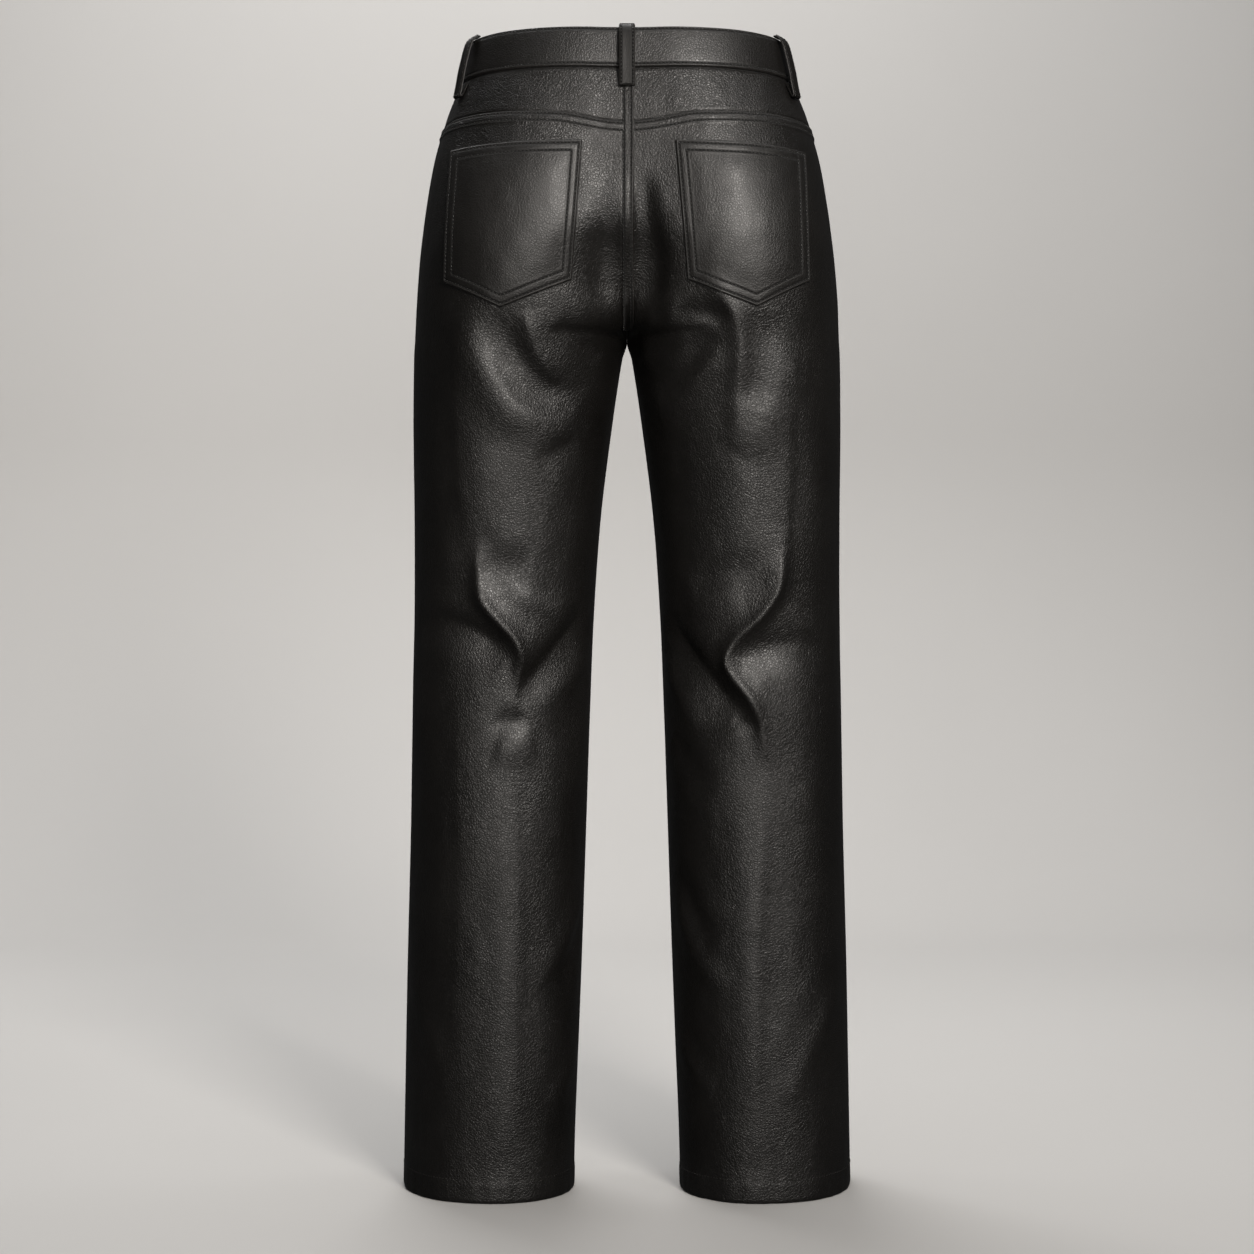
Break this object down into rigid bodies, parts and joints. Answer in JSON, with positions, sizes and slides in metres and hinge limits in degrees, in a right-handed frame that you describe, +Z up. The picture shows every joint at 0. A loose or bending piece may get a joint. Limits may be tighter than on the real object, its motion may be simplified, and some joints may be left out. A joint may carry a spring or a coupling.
{
  "type": "leather trousers",
  "caption": "Straight-leg leather trousers held out as if worn, with waistband, belt loops, back yokes and pointed patch pockets.",
  "frame": {"origin": "middle of the waist opening, half way up the waistband, where the wearer's waist holds the garment", "axes": "+Z up along the trousers, -Y the back, +X the wearer's right"},
  "size_m": [0.4174, 0.2315, 1.0604],
  "materials": {
    "leather": "black pebbled hide, satin, lightly creased",
    "band_leather": "black hide, smoother and a little glossier",
    "zip_tape": "black woven tape, matt",
    "button_metal": "dark plated metal, satin"
  },
  "bodies": {
    "root": {"back_left": "leather", "back_right": "leather", "front_left": "leather", "front_right": "leather", "yoke_left": "leather", "yoke_right": "leather", "pocket_left": "leather", "pocket_right": "leather", "waistband": "band_leather", "loop_back": "band_leather", "loop_side_left": "band_leather", "loop_side_right": "band_leather", "loop_front_left": "band_leather", "loop_front_right": "band_leather", "hem_left": "leather", "hem_right": "leather", "fly_shield": "leather", "zip_tape_left": "zip_tape", "zip_tape_right": "zip_tape", "waist_button": "button_metal"}
  },
  "joints": []
}
